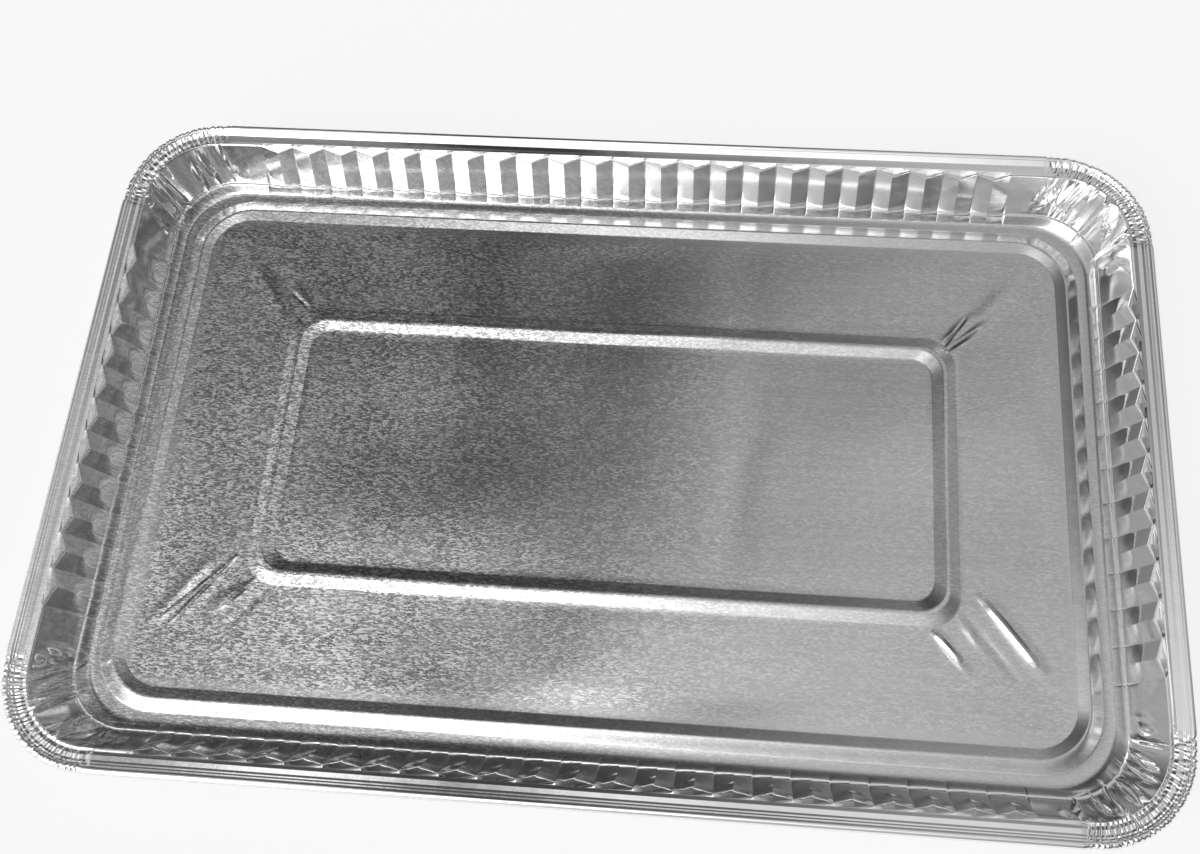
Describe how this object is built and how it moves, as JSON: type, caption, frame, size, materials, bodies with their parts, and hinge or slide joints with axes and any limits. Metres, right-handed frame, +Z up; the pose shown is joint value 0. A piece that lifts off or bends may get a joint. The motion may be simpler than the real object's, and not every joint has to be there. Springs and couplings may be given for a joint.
{
  "type": "foil cake pan",
  "caption": "Shallow rectangular baking pan pressed from one sheet of foil, with pleated sloping walls, a flat ledge and a rolled rim.",
  "frame": {"origin": "centre of the underside, on the surface that the pan stands on", "axes": "+X along the pan's length, +Y across its width, +Z up out of the open top"},
  "size_m": [0.324, 0.2046, 0.0178],
  "materials": {
    "foil": "bright mill finish foil with a fine rolled grain"
  },
  "bodies": {
    "root": {"pan": "foil"}
  },
  "joints": []
}
